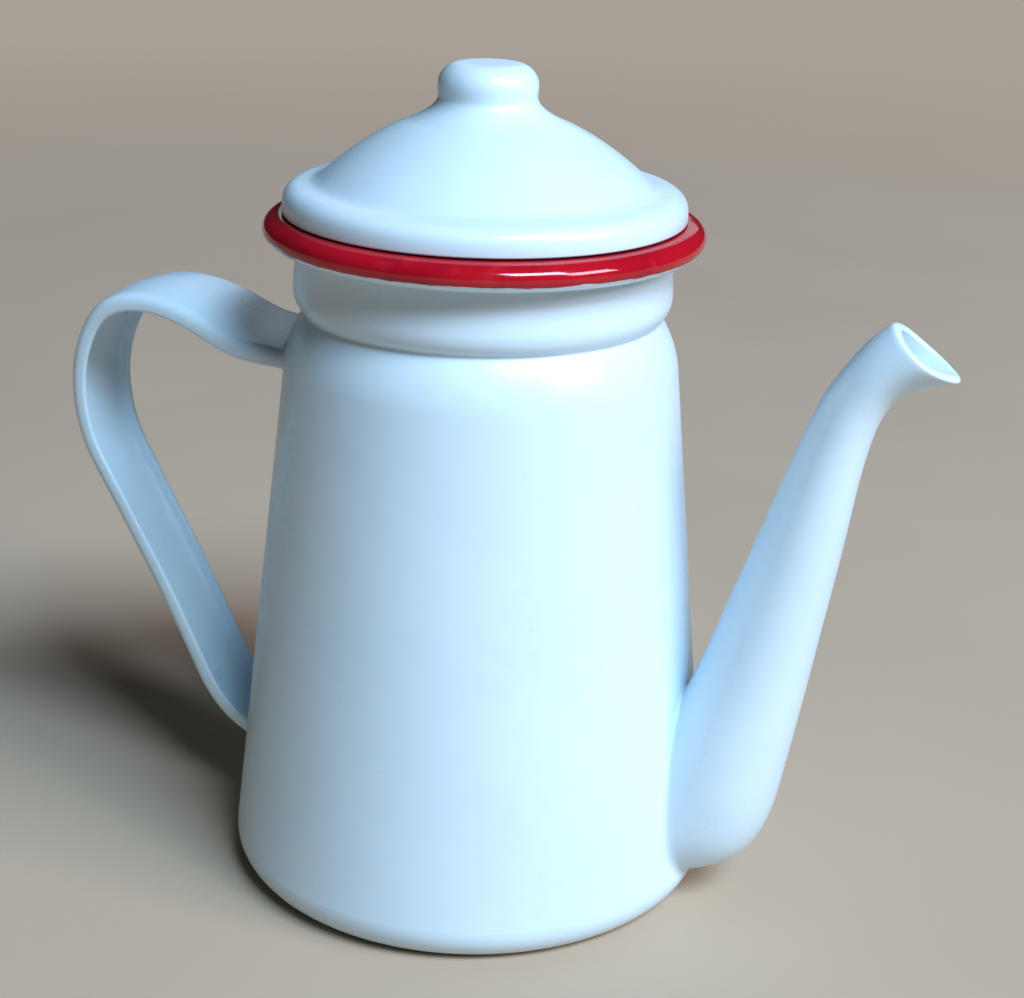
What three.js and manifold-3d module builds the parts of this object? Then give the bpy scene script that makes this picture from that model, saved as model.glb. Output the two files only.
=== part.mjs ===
// An enamelled steel coffee pot: a cone-shaped body with a grooved neck and a rolled rim, a long
// bent spout, a strap handle and a domed lid that lifts off.
// Millimetres, +Z up. The origin is on the pot's axis, on the face that it stands on. The spout
// points along +X and the handle along -X.
import * as THREE from "three";
import { mergeVertices } from "three/addons/utils/BufferGeometryUtils.js";
import Module from "manifold-3d";

const wasm = await Module();
wasm.setup();

// ---- Sheet and facets ----
const SHEET = 1.0; // steel and the enamel on both its faces
const GAP = 0.3; // kept between two pieces that are welded together or rest on each other
const FACETS_AROUND = 40; // of everything turned round the pot's axis
const KNOB_FACETS = 24;
const ARC_STEPS = 3; // points along each curved stretch of a profile
const SAME_POINT = 1e-6; // two points closer than this are one

// ---- Body ----
const CONE_BASE_RADIUS = 63.6; // of the wall carried on down to the floor
const SHOULDER_RADIUS = 49.1; // where the cone starts to round over into the groove
const SHOULDER_Z = 137;
const GROOVE_RADIUS = 43.8;
const GROOVE_Z = 149.8;
const NECK_RADIUS = 46.8; // where the neck is widest, just above the groove
const NECK_Z = 155;
const NECK_TOP_RADIUS = 46;
const SHOULDER_PULL = [48.2, 143.3]; // the curve from cone to groove bends towards this point
const NECK_PULL = [46.6, 150.9]; // and the curve from groove to neck towards this one
const NECK_TOP_Z = 167.3;

// ---- Base pan ----
const HEEL_RADIUS = 8.6; // rounding between the floor and the wall
const FLANGE_TOP_Z = 15; // of the upstand that laps inside the wall
const RING_RADIUS = 46; // middle of the pressed stiffening ring
const RING_WIDTH = 8;
const RING_DEPTH = 1;

// ---- Rolled rim ----
const RIM_OUTER_RADIUS = 54;
const RIM_HEIGHT = 7;
const RIM_CENTRE_Z = 169.9;
const RIM_CURL_END = THREE.MathUtils.degToRad(-125); // the curl stops here, short of the neck
const RIM_STEPS = 6;

// ---- Strainer behind the spout ----
const STRAINER_HOLE_RADIUS = 1.7;
const STRAINER_PITCH = 7;
const STRAINER_FIRST_Z = 21;
const STRAINER_ROW_STEP = 6.5;
const STRAINER_ROWS = [3, 4, 3, 4, 3]; // holes in each row, from the lowest up
const STRAINER_FACETS = 8;

// ---- Spout: pairs of points on its back and its belly, in the plane y = 0, with its half width ----
const SPOUT_SECTIONS = [
  { back: [44, 36], belly: [58, 6.4], half: 17.8 },
  { back: [47.5, 38.5], belly: [68, 9], half: 17.8 },
  { back: [50, 41], belly: [76, 14], half: 17.8 },
  { back: [52.3, 45], belly: [81.3, 24], half: 17.6 },
  { back: [55.4, 51], belly: [84.6, 40], half: 16.6 },
  { back: [61.2, 65.5], belly: [87.8, 59], half: 14.4 },
  { back: [66.8, 81.9], belly: [90.4, 76], half: 12.7 },
  { back: [74.2, 104], belly: [94, 99], half: 10.9 },
  { back: [81.6, 126.5], belly: [97.4, 122.5], half: 9.4 },
  { back: [86.9, 140.2], belly: [100.6, 134.6], half: 8.9 },
  { back: [93.1, 149.7], belly: [104.9, 140.9], half: 8.7 },
  { back: [97.2, 154.9], belly: [110.8, 143.6], half: 8.4 },
  { back: [100.9, 157.7], belly: [117.3, 145.4], half: 8.3 },
];
const SPOUT_FACETS = 28; // around each section
const SPOUT_LIP_START = 0.75; // along the spout, where its belly starts to draw to a point
const SPOUT_LIP_POINT = 0.45; // how far the belly is narrowed at the pouring lip
const SPOUT_OVERRUN = 4; // by which the passage is carried past both ends
const SPOUT_REACH = 200; // larger than the whole spout

// ---- Handle: the middle of the strap from its top end to its bottom end, in the plane y = 0 ----
const HANDLE_ROUTE = [
  [-45, 135],
  [-61, 136],
  [-75, 142],
  [-88, 144.3],
  [-100.5, 140.5],
  [-108.5, 125],
  [-108, 106],
  [-98.6, 86.6],
  [-88, 67.4],
  [-78.8, 48.8],
  [-72, 35.3],
  [-65, 28.4],
  [-54, 23.6],
];
const HANDLE_STEPS = 34;
const STRAP_WIDTH = 22.3;
const STRAP_TOP_WIDTH = 36.8; // where the strap spreads over the wall
const STRAP_FLARE_LENGTH = 0.6; // of the route, from the top end
const STRAP_FLARE_POWER = 1.5; // more than 1 makes the flare hollow
const STRAP_THICKNESS = 1.5;
const STRAP_EDGE_HEIGHT = 4.2; // of the edges that are turned in
const STRAP_CORNER = 1.3;
const STRAP_CROWN = 0.5; // rise of the outer face along the middle

// ---- Lid, measured from the rim that it rests on ----
const LID_SEAT_Z = RIM_CENTRE_Z + RIM_HEIGHT / 2 + GAP;
const BRIM_RADIUS = 49.3;
const BRIM_ROUNDING = 4.1;
const BRIM_TOP = 6.7;
const BRIM_INNER = [42.2, 7.1];
const DOME_FOOT_PULL = [40.9, 7.6]; // the hollow curve from brim to dome bends towards this point
const DOME_FOOT = [39.7, 8.8];
const DOME_FLANK = [36.5, 11.5];
const DOME_SHOULDER = [21.8, 21];
const DOME_FLANK_PULL = [29, 17.5]; // the curve from flank to shoulder bends towards this point
const DOME_CROWN = 25.5;
const DOME_CROWN_PULL = [12, DOME_CROWN];
const COLLAR_RADIUS = 44.2;
const COLLAR_LEAD_IN = 1.2; // by which its lower edge is drawn in
const COLLAR_LEAD_IN_HEIGHT = 3;
const COLLAR_BOTTOM = -11;
const COLLAR_TOP = 5.2;
const KNOB_RADIUS = 12.2;
const KNOB_NECK_RADIUS = 11.9;
const KNOB_NECK = 27.7;
const KNOB_FOOT_RADIUS = 16.5;
const KNOB_FOOT = 24.1;
const KNOB_FOOT_PULL = [12.3, 25.1]; // the hollow curve from foot to neck bends towards this point
const KNOB_TOP = 36;
const KNOB_ROUNDING = 5.3;

const WHITE_ENAMEL = { color: 0xe9f2f6, roughness: 0.22, metalness: 0 };
const RED_ENAMEL = { color: 0xb50a1e, roughness: 0.15, metalness: 0 };

// ---- Solids ----

// A closed geometry as a solid that can be joined and cut.
function solidOf(geometry) {
  const bare = geometry.clone();
  bare.deleteAttribute("normal");
  bare.deleteAttribute("uv");
  const merged = mergeVertices(bare);
  return new wasm.Manifold(
    new wasm.Mesh({
      numProp: 3,
      vertProperties: merged.attributes.position.array,
      triVerts: new Uint32Array(merged.index.array),
    }),
  );
}

function geometryOf(solid) {
  const mesh = solid.getMesh();
  const geometry = new THREE.BufferGeometry();
  geometry.setAttribute("position", new THREE.BufferAttribute(mesh.vertProperties, mesh.numProp));
  geometry.setIndex(new THREE.BufferAttribute(mesh.triVerts, 1));
  geometry.computeVertexNormals();
  return geometry;
}

function meshOf(name, finish, geometry) {
  const mesh = new THREE.Mesh(geometry, new THREE.MeshStandardMaterial(finish));
  mesh.name = name;
  return mesh;
}

// A profile of radius and height turned round the Z axis.
function turned(profile, facets = FACETS_AROUND) {
  return new THREE.LatheGeometry(profile, facets).rotateX(Math.PI / 2);
}

// The points along a path, without the doubled ones where an arc starts.
function pointsOf(path, steps = ARC_STEPS) {
  const points = path.getPoints(steps);
  return points.filter((point, i) => i === 0 || point.distanceTo(points[i - 1]) > SAME_POINT);
}

// The points of a line moved to its left by a distance, or to its right by a negative one.
function movedLeft(line, distance) {
  const normals = line.slice(1).map((point, i) => {
    const along = point.clone().sub(line[i]).normalize();
    return new THREE.Vector2(-along.y, along.x);
  });
  return line.map((point, i) => {
    const before = normals[Math.max(i - 1, 0)];
    const after = normals[Math.min(i, normals.length - 1)];
    const mitre = before.clone().add(after);
    mitre.multiplyScalar(distance / (1 + before.dot(after)));
    const moved = point.clone().add(mitre);
    return point.x === 0 ? moved.setX(0) : moved;
  });
}

// The closed profile of a sheet whose outer face is the line, with the outside on its right.
function sheetProfile(line, thickness = SHEET) {
  const inner = movedLeft(line, thickness).reverse();
  if (line[0].x === 0) return [...line, ...inner];
  if (inner[0].x === 0) return [...inner, ...line];
  return [...line, ...inner, line[0].clone()];
}

// Rings of points joined into a tube with flat ends. Each ring runs counter-clockwise about the
// way the tube goes, and the outline gives the same points in a flat plane.
function lofted(rings, outline) {
  const count = rings[0].length;
  const positions = rings.flat().flatMap((point) => point.toArray());
  const indices = [];
  for (let ring = 0; ring + 1 < rings.length; ring++) {
    for (let i = 0; i < count; i++) {
      const next = (i + 1) % count;
      const low = ring * count;
      const high = low + count;
      indices.push(low + i, low + next, high + next);
      indices.push(low + i, high + next, high + i);
    }
  }
  const last = (rings.length - 1) * count;
  const mirrored = THREE.ShapeUtils.isClockWise(outline);
  for (const face of THREE.ShapeUtils.triangulateShape(outline, [])) {
    const [a, b, c] = mirrored ? face.toReversed() : face;
    indices.push(a, c, b);
    indices.push(last + a, last + b, last + c);
  }
  const geometry = new THREE.BufferGeometry();
  geometry.setAttribute("position", new THREE.Float32BufferAttribute(positions, 3));
  geometry.setIndex(indices);
  return geometry;
}

// ---- Body ----

function wallRadius(z) {
  return CONE_BASE_RADIUS + ((SHOULDER_RADIUS - CONE_BASE_RADIUS) * z) / SHOULDER_Z;
}

const wallLean = Math.atan2(CONE_BASE_RADIUS - SHOULDER_RADIUS, SHOULDER_Z);
const heelCentreRadius = wallRadius(HEEL_RADIUS) - HEEL_RADIUS / Math.cos(wallLean);
const heelTopZ = HEEL_RADIUS + HEEL_RADIUS * Math.sin(wallLean);

function heelArc(path) {
  path.lineTo(heelCentreRadius, 0);
  path.absarc(heelCentreRadius, HEEL_RADIUS, HEEL_RADIUS, -Math.PI / 2, wallLean);
}

// From the cone over the shoulder, down into the groove and up the neck.
function shoulderAndNeck(path) {
  path.lineTo(SHOULDER_RADIUS, SHOULDER_Z);
  path.quadraticCurveTo(...SHOULDER_PULL, GROOVE_RADIUS, GROOVE_Z);
  path.quadraticCurveTo(...NECK_PULL, NECK_RADIUS, NECK_Z);
  path.lineTo(NECK_TOP_RADIUS, NECK_TOP_Z);
}

function basePan() {
  const path = new THREE.Path().moveTo(0, 0);
  path.lineTo(RING_RADIUS - RING_WIDTH / 2, 0);
  path.lineTo(RING_RADIUS - RING_WIDTH / 4, RING_DEPTH);
  path.lineTo(RING_RADIUS + RING_WIDTH / 4, RING_DEPTH);
  path.lineTo(RING_RADIUS + RING_WIDTH / 2, 0);
  heelArc(path);
  const lap = SHEET + GAP;
  path.lineTo(wallRadius(heelTopZ + lap / 2) - lap, heelTopZ + lap / 2);
  path.lineTo(wallRadius(FLANGE_TOP_Z) - lap, FLANGE_TOP_Z);
  return turned(sheetProfile(pointsOf(path)));
}

// The cone wall with its shoulder, groove and neck, and the holes that strain the coffee.
function bodyWall() {
  const lowestZ = heelTopZ + SHEET;
  const path = new THREE.Path().moveTo(wallRadius(lowestZ), lowestZ);
  shoulderAndNeck(path);
  let wall = solidOf(turned(sheetProfile(pointsOf(path))));
  STRAINER_ROWS.forEach((holes, row) => {
    const z = STRAINER_FIRST_Z + row * STRAINER_ROW_STEP;
    for (let i = 0; i < holes; i++) {
      const y = (i - (holes - 1) / 2) * STRAINER_PITCH;
      wall = wall.subtract(strainerPunch(y, z));
    }
  });
  return geometryOf(wall);
}

function strainerPunch(y, z) {
  const depth = CONE_BASE_RADIUS / 2;
  const punch = new THREE.CylinderGeometry(
    STRAINER_HOLE_RADIUS,
    STRAINER_HOLE_RADIUS,
    depth,
    STRAINER_FACETS,
  );
  return solidOf(punch.rotateZ(Math.PI / 2).translate(CONE_BASE_RADIUS, y, z));
}

// The top of the neck turned out and rolled under into a hollow bead.
function rolledRim() {
  const neckMiddle = NECK_TOP_RADIUS - SHEET / 2;
  const outermost = RIM_OUTER_RADIUS - SHEET / 2;
  const across = (outermost - neckMiddle) / 2;
  const up = (RIM_HEIGHT - SHEET) / 2;
  const path = new THREE.Path().moveTo(neckMiddle, NECK_TOP_Z + GAP);
  path.lineTo(neckMiddle, RIM_CENTRE_Z);
  path.absellipse(neckMiddle + across, RIM_CENTRE_Z, across, up, Math.PI, RIM_CURL_END, true);
  const middle = pointsOf(path, RIM_STEPS);
  const outer = movedLeft(middle, SHEET / 2);
  const inner = movedLeft(middle, -SHEET / 2);
  return turned([...inner, ...outer.reverse(), inner[0].clone()]);
}

// Everything inside the pot's outer face, and a gap's width more: what is welded on stops here.
function bodyEnvelope() {
  const path = new THREE.Path().moveTo(0, 0);
  heelArc(path);
  shoulderAndNeck(path);
  const skin = movedLeft(pointsOf(path), -GAP);
  return solidOf(turned([...skin, new THREE.Vector2(0, NECK_TOP_Z)]));
}

// ---- Spout ----

// One section: an oval from the spout's back to its belly, drawn to a point towards the lip.
function spoutRing({ back, belly, half }, along, inset, shift) {
  const centre = back.clone().add(belly).multiplyScalar(0.5).add(shift);
  const spine = back.clone().sub(belly).multiplyScalar(0.5);
  spine.setLength(spine.length() - inset);
  const narrowing = SPOUT_LIP_POINT * THREE.MathUtils.smoothstep(along, SPOUT_LIP_START, 1);
  const ring = [];
  for (let i = 0; i < SPOUT_FACETS; i++) {
    const angle = (-2 * Math.PI * (i + 0.5)) / SPOUT_FACETS;
    const towardsBelly = Math.max(0, -Math.cos(angle));
    const width = (half - inset) * Math.sin(angle) * (1 - narrowing * towardsBelly ** 2);
    ring.push(
      new THREE.Vector3(
        centre.x + spine.x * Math.cos(angle),
        width,
        centre.y + spine.y * Math.cos(angle),
      ),
    );
  }
  return ring;
}

function spoutSolid(inset, overrun) {
  const sections = SPOUT_SECTIONS.map(({ back, belly, half }) => ({
    back: new THREE.Vector2(...back),
    belly: new THREE.Vector2(...belly),
    half,
  }));
  const stay = new THREE.Vector2();
  const rings = sections.map((section, i) =>
    spoutRing(section, i / (sections.length - 1), inset, stay),
  );
  if (overrun > 0) {
    const lip = sections.at(-1);
    const spine = lip.back.clone().sub(lip.belly).normalize();
    const outOfMouth = new THREE.Vector2(spine.y, -spine.x).multiplyScalar(overrun);
    rings.unshift(spoutRing(sections[0], 0, inset, new THREE.Vector2(-overrun, 0)));
    rings.push(spoutRing(lip, 1, inset, outOfMouth));
  }
  const outline = rings[0].map((point) => new THREE.Vector2(point.z, point.y));
  return solidOf(lofted(rings, outline));
}

// The two pressed halves of the spout, to the left (+Y) and the right of its seams.
function spoutHalf(envelope, side) {
  const half = new THREE.BoxGeometry(SPOUT_REACH, SPOUT_REACH, SPOUT_REACH);
  half.translate(SPOUT_REACH / 2, (side * (SPOUT_REACH + GAP)) / 2, SPOUT_REACH / 2);
  const tube = spoutSolid(0, 0).subtract(spoutSolid(SHEET, SPOUT_OVERRUN));
  return geometryOf(tube.subtract(envelope).intersect(solidOf(half)));
}

// ---- Handle ----

// The strap's section: its outer face is crowned and both its edges are turned in.
function strapOutline(width) {
  const side = width / 2;
  const outer = STRAP_EDGE_HEIGHT / 2;
  const inner = outer - STRAP_THICKNESS;
  const edge = side - STRAP_THICKNESS;
  return [
    [0, outer + STRAP_CROWN],
    [side - STRAP_CORNER, outer],
    [side, outer - STRAP_CORNER],
    [side, -outer],
    [edge, -outer],
    [edge, inner - STRAP_CORNER / 2],
    [edge - STRAP_CORNER / 2, inner],
    [0, inner + STRAP_CROWN],
    [STRAP_CORNER / 2 - edge, inner],
    [-edge, inner - STRAP_CORNER / 2],
    [-edge, -outer],
    [-side, -outer],
    [-side, outer - STRAP_CORNER],
    [STRAP_CORNER - side, outer],
  ].map(([across, out]) => new THREE.Vector2(across, out));
}

function handleStrap(envelope) {
  const route = new THREE.CatmullRomCurve3(HANDLE_ROUTE.map(([x, z]) => new THREE.Vector3(x, 0, z)));
  const flare = STRAP_TOP_WIDTH - STRAP_WIDTH;
  const rings = [];
  for (let step = 0; step <= HANDLE_STEPS; step++) {
    const along = step / HANDLE_STEPS;
    const point = route.getPointAt(along);
    const tangent = route.getTangentAt(along);
    const out = new THREE.Vector3(tangent.z, 0, -tangent.x);
    const spread = (1 - Math.min(along / STRAP_FLARE_LENGTH, 1)) ** STRAP_FLARE_POWER;
    const outline = strapOutline(STRAP_WIDTH + flare * spread);
    rings.push(
      outline.map((corner) => {
        const place = point.clone().addScaledVector(out, corner.y);
        return place.setY(corner.x);
      }),
    );
  }
  const strap = solidOf(lofted(rings, strapOutline(STRAP_TOP_WIDTH)));
  return geometryOf(strap.subtract(envelope));
}

// ---- Lid ----

function lidShell() {
  const path = new THREE.Path().moveTo(BRIM_RADIUS, 0);
  const bend = BRIM_TOP - BRIM_ROUNDING;
  path.lineTo(BRIM_RADIUS, bend);
  path.absarc(BRIM_RADIUS - BRIM_ROUNDING, bend, BRIM_ROUNDING, 0, Math.PI / 2);
  path.lineTo(...BRIM_INNER);
  path.quadraticCurveTo(...DOME_FOOT_PULL, ...DOME_FOOT);
  path.lineTo(...DOME_FLANK);
  path.quadraticCurveTo(...DOME_FLANK_PULL, ...DOME_SHOULDER);
  path.quadraticCurveTo(...DOME_CROWN_PULL, 0, DOME_CROWN);
  return turned(sheetProfile(pointsOf(path)));
}

// The ring under the lid that drops into the neck and keeps the lid in its place.
function lidCollar() {
  const path = new THREE.Path().moveTo(COLLAR_RADIUS - COLLAR_LEAD_IN, COLLAR_BOTTOM);
  path.lineTo(COLLAR_RADIUS, COLLAR_BOTTOM + COLLAR_LEAD_IN_HEIGHT);
  path.lineTo(COLLAR_RADIUS, COLLAR_TOP);
  return turned(sheetProfile(pointsOf(path)));
}

// A hollow pressed knob with a foot that spreads out over the dome.
function lidKnob() {
  const path = new THREE.Path().moveTo(KNOB_FOOT_RADIUS, KNOB_FOOT);
  path.quadraticCurveTo(...KNOB_FOOT_PULL, KNOB_NECK_RADIUS, KNOB_NECK);
  const widest = KNOB_TOP - KNOB_ROUNDING;
  path.lineTo(KNOB_RADIUS, widest);
  path.absarc(KNOB_RADIUS - KNOB_ROUNDING, widest, KNOB_ROUNDING, 0, Math.PI / 2);
  path.lineTo(0, KNOB_TOP);
  return turned(sheetProfile(pointsOf(path)), KNOB_FACETS);
}

// ---- The pot and its lid ----

const envelope = bodyEnvelope();

const pot = new THREE.Group();
pot.add(meshOf("base_pan", WHITE_ENAMEL, basePan()));
pot.add(meshOf("body_wall", WHITE_ENAMEL, bodyWall()));
pot.add(meshOf("rolled_rim", RED_ENAMEL, rolledRim()));
pot.add(meshOf("spout_left_half", WHITE_ENAMEL, spoutHalf(envelope, 1)));
pot.add(meshOf("spout_right_half", WHITE_ENAMEL, spoutHalf(envelope, -1)));
pot.add(meshOf("handle_strap", WHITE_ENAMEL, handleStrap(envelope)));

const lid = new THREE.Group();
lid.position.z = LID_SEAT_Z;
lid.add(meshOf("lid_shell", WHITE_ENAMEL, lidShell()));
lid.add(meshOf("lid_collar", WHITE_ENAMEL, lidCollar()));
lid.add(meshOf("lid_knob", WHITE_ENAMEL, lidKnob()));

const coffeePot = new THREE.Group();
coffeePot.add(pot, lid);

export default coffeePot;
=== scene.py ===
"""The looks of an enamelled steel coffee pot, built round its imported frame.

Metres, +Z up: the pot stands on z = 0, its spout points along +X and its handle along -X. Every visible
piece is one fine closed mesh that stands for the frame's faceted nodes and rides on the same body.
"""
import math

import bmesh
import bpy
import numpy as np
from mathutils import Matrix, Vector, noise


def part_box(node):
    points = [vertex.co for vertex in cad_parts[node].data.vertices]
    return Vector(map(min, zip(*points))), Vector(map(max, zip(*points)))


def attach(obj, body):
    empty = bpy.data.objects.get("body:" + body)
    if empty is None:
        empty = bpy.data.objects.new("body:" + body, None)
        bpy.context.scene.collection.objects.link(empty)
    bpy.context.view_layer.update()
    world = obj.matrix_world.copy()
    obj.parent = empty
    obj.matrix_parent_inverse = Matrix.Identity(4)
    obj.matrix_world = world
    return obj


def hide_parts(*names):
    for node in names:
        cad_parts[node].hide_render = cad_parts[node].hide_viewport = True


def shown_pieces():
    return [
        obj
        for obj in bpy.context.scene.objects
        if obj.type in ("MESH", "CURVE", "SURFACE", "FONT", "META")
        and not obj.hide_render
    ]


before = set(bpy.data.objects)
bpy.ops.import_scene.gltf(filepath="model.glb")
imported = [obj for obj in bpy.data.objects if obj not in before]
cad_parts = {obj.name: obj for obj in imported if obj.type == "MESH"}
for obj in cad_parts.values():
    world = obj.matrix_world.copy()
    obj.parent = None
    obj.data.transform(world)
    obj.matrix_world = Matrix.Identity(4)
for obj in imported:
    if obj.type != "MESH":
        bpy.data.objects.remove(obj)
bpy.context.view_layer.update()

MM = 0.001

# ---- The lowest and highest corners of the frame's nodes ----
PAN_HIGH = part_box("base_pan")[1]
WALL_LOW, WALL_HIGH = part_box("body_wall")
RIM_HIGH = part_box("rolled_rim")[1]
SHELL_LOW, SHELL_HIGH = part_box("lid_shell")
COLLAR_LOW, COLLAR_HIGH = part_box("lid_collar")
KNOB_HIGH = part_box("lid_knob")[1]

# ---- Sizes of the pressings ----
# They are the frame's own, apart from the spout's mouth and the strap's edges, which the enamel rounds.
SHEET = 1.0 * MM
HEEL_RADIUS = 8.6 * MM
RING_RADIUS = 46 * MM  # middle of the ring pressed into the bottom
RING_WIDTH = 8 * MM
SHOULDER = (49.1 * MM, 137 * MM)  # radius and height where the cone starts to round over
SHOULDER_PULL = (48.2 * MM, 143.3 * MM)
GROOVE = (43.8 * MM, 149.8 * MM)
NECK_PULL = (46.6 * MM, 150.9 * MM)
NECK = (46.8 * MM, 155 * MM)
NECK_TOP_RADIUS = 46 * MM
RIM_HEIGHT = 7.0 * MM
RIM_CURL_END = math.radians(-152)  # the curl is closed against the neck

STRAINER_HOLE_RADIUS = 1.7 * MM
STRAINER_PITCH = 7 * MM
STRAINER_FIRST_Z = 21 * MM
STRAINER_ROW_STEP = 6.5 * MM
STRAINER_ROWS = (3, 4, 3, 4, 3)
STRAINER_HOLE_AROUND = 28
STRAINER_PIN_LENGTH = 12 * MM

# Across the spout at each section: a point (x, z) on its back, one on its belly, and its half width.
SPOUT_SECTIONS = (
    ((44, 36), (58, 6.4), 17.8),
    ((47.5, 38.5), (68, 9), 17.8),
    ((50, 41), (76, 14), 17.8),
    ((52.3, 45), (81.3, 24), 17.6),
    ((55.4, 51), (84.6, 40), 16.6),
    ((61.2, 65.5), (87.8, 59), 14.4),
    ((66.8, 81.9), (90.4, 76), 12.7),
    ((74.2, 104), (94, 99), 10.9),
    ((81.6, 126.5), (97.4, 122.5), 9.4),
    ((86.9, 140.2), (100.6, 134.6), 8.9),
    ((93.1, 149.7), (104.9, 140.9), 8.7),
    ((97.2, 154.9), (110.8, 143.6), 8.4),
    ((100.9, 157.7), (117.3, 145.4), 8.3),
)
SPOUT_LIP_START = 0.75  # along the spout, where its belly starts to draw to a point
SPOUT_LIP_POINT = 0.3
SPOUT_LIP_DIP = 1.0 * MM  # how far the mouth's sides lie below the line from its back to its tip
SPOUT_LIP_SWELL = 1.7 * MM  # what the bead round the mouth adds to the sheet
SPOUT_LIP_BULGE = 0.65
SPOUT_THROAT_SWELL = 2.7 * MM  # and what it adds at its thickest, a little way in
SPOUT_THROAT_DEPTH = 6.5 * MM
SPOUT_THROAT_END = 24 * MM
SPOUT_FILLET = 2.4 * MM  # enamel that fills the corner where the spout meets the wall

# The middle of the handle's strap (x, z), from its top end to its bottom end.
HANDLE_ROUTE = (
    (-45, 135), (-61, 136), (-75, 142), (-88, 144.3), (-100.5, 140.5), (-108.5, 125), (-108, 106),
    (-98.6, 86.6), (-88, 67.4), (-78.8, 48.8), (-72, 35.3), (-65, 28.4), (-54, 23.6),
)
STRAP_WIDTH = 22.3 * MM
STRAP_TOP_WIDTH = 36.8 * MM
STRAP_FLARE_LENGTH = 0.6
STRAP_FLARE_POWER = 1.5
STRAP_THICKNESS = 1.5 * MM
STRAP_EDGE_HEIGHT = 4.7 * MM
STRAP_CORNER = 2.1 * MM  # at the middle of the sheet
STRAP_CROWN = 0.7 * MM
HANDLE_FILLET = 1.0 * MM

# The lid, measured from the rim that it rests on.
BRIM_ROUNDING = 4.1 * MM
BRIM_TOP = 6.7 * MM
BRIM_INNER = (42.2 * MM, 7.1 * MM)
DOME_FOOT_PULL = (40.9 * MM, 7.6 * MM)
DOME_FOOT = (39.7 * MM, 8.8 * MM)
DOME_FLANK = (36.5 * MM, 11.5 * MM)
DOME_FLANK_PULL = (29 * MM, 17.5 * MM)
DOME_SHOULDER = (21.8 * MM, 21 * MM)
DOME_CROWN_PULL = (12 * MM, 25.5 * MM)
COLLAR_LEAD_IN = 1.2 * MM
COLLAR_LEAD_IN_HEIGHT = 3 * MM
KNOB_SPREAD = 19.5 * MM  # radius at which the knob's foot has run out into the dome
KNOB_FOOT_PULL = (12.6 * MM, 24.9 * MM)
KNOB_NECK = (11.9 * MM, 27.9 * MM)
KNOB_RADIUS = 12.2 * MM
KNOB_ROUNDING = 5.3 * MM

# ---- Fineness ----
DRAFT_STEP = 0.2 * MM  # spacing of an outline while it is drawn and softened
OUTLINE_ERROR = 0.006 * MM  # how far the kept points may stray from the drawn outline
OUTLINE_STEP = 3.5 * MM  # and the longest step between them
FEWEST_STEPS = 4  # of an arc or a curve
BLUR_REACH = 3  # how many softnesses a blur reaches to each side
AXIS_REACH = DRAFT_STEP / 4  # points nearer the axis than this lie on it
AROUND = 176  # faces round the pot
KNOB_AROUND = 96
EDGE_STEPS = 8  # round the half circle of a sheet's edge
EMBED = 0.5 * MM  # how deep a welded piece's hidden end goes into the sheet it is welded on
TUCK = 0.06 * MM  # how deep the edge of an enamel fillet goes below the surface it runs out on
WELD_DISTANCE = 1e-4 * MM
SHARP_ANGLE = 50  # degrees, above which an edge isn't shaded smooth
BEND_BLUR_ROUNDS = 2
LEAST_SQUARED_EDGE = 1e-6  # square millimetres, so that no edge divides by zero
FILLET_STEPS = 6
SPLINE_STEPS = 24  # from one point of a route to the next
WALL_SOFTNESS = 0.7 * MM  # how far an outline's corners are softened
RIM_SOFTNESS = 0.4 * MM
LID_SOFTNESS = 0.9 * MM
COLLAR_SOFTNESS = 0.8 * MM
KNOB_SOFTNESS = 0.6 * MM
SPOUT_AROUND = 72
SPOUT_STEP = 1.0 * MM
SPOUT_ROWS = 110
SPOUT_SOFTNESS = 2.6 * MM
STRAP_STEP = 1.0 * MM
STRAP_ROWS = 150
STRAP_SOFTNESS = 3 * MM
STRAP_FACE_STEPS = 14
STRAP_BEND_STEPS = 7

# ---- Handmade unevenness of the pressings ----
SWAY_SEED = 7  # above 0, because the noise takes its seed from the clock otherwise
SWAY_LENGTH = 46 * MM
SWAY_DEPTH = 0.13 * MM
SWAY_START = 15 * MM  # height at which it is at its full depth

# ---- Noise: how ragged it is, and the values between which what it drives comes in ----
SMOOTH_NOISE = 1.0
PLAIN_NOISE = 2.0
ROUGH_NOISE = 3.0
RAGGED_NOISE = 4.0
WIDE_RANGE = (0.3, 0.7)
CLOUD_RANGE = (0.35, 0.65)
MOTTLE_RANGE = (0.45, 0.7)
SCUFF_RANGE = (0.47, 0.6)
RED_CLOUD_RANGE = (0.35, 0.7)
RED_STREAK_RANGE = (0.55, 0.75)

# ---- Enamel, colours in linear light ----
GLASS_IOR = 1.52
WHITE = (0.70, 0.85, 0.94)
WHITE_COOL = (0.675, 0.835, 0.935)
WHITE_THICK = (0.64, 0.805, 0.915)
WHITE_THIN = (0.46, 0.57, 0.68)  # the dark ground coat shows through on sharp edges
# painted shade: grey laid into corners and creases, in patches
CORNER_SHADE = (0.36, 0.37, 0.36)
PINHOLE = (0.36, 0.43, 0.50)
IRON = (0.05, 0.055, 0.065)
CLOUD_LENGTH = 38 * MM
MOTTLE_LENGTH = 7 * MM
MOTTLE_SHARE = 0.3
THIN_BEND = (0.45, 1.6)  # per millimetre
THIN_SHARE = 0.45
# bends at which the painted corner shade starts and is full, per millimetre
CORNER_BEND = (-0.25, -1.1)
CORNER_SHADE_PATCH_LENGTH = 14 * MM
CORNER_SHADE_SHARE = 0.4
PINHOLE_SPACING = 9 * MM
PINHOLE_RADIUS = 0.22 * MM
WAVE_LENGTH = 13 * MM
WHITE_WAVE_DEPTH = 0.09 * MM
PEEL_LENGTH = 2.2 * MM
PEEL_DEPTH = 0.006 * MM
GLOSS_LENGTH = 24 * MM
WHITE_ROUGHNESS = (0.26, 0.36)
WORN_ROUGHNESS = 0.55
SCUFF_LENGTH = 9 * MM
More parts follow.
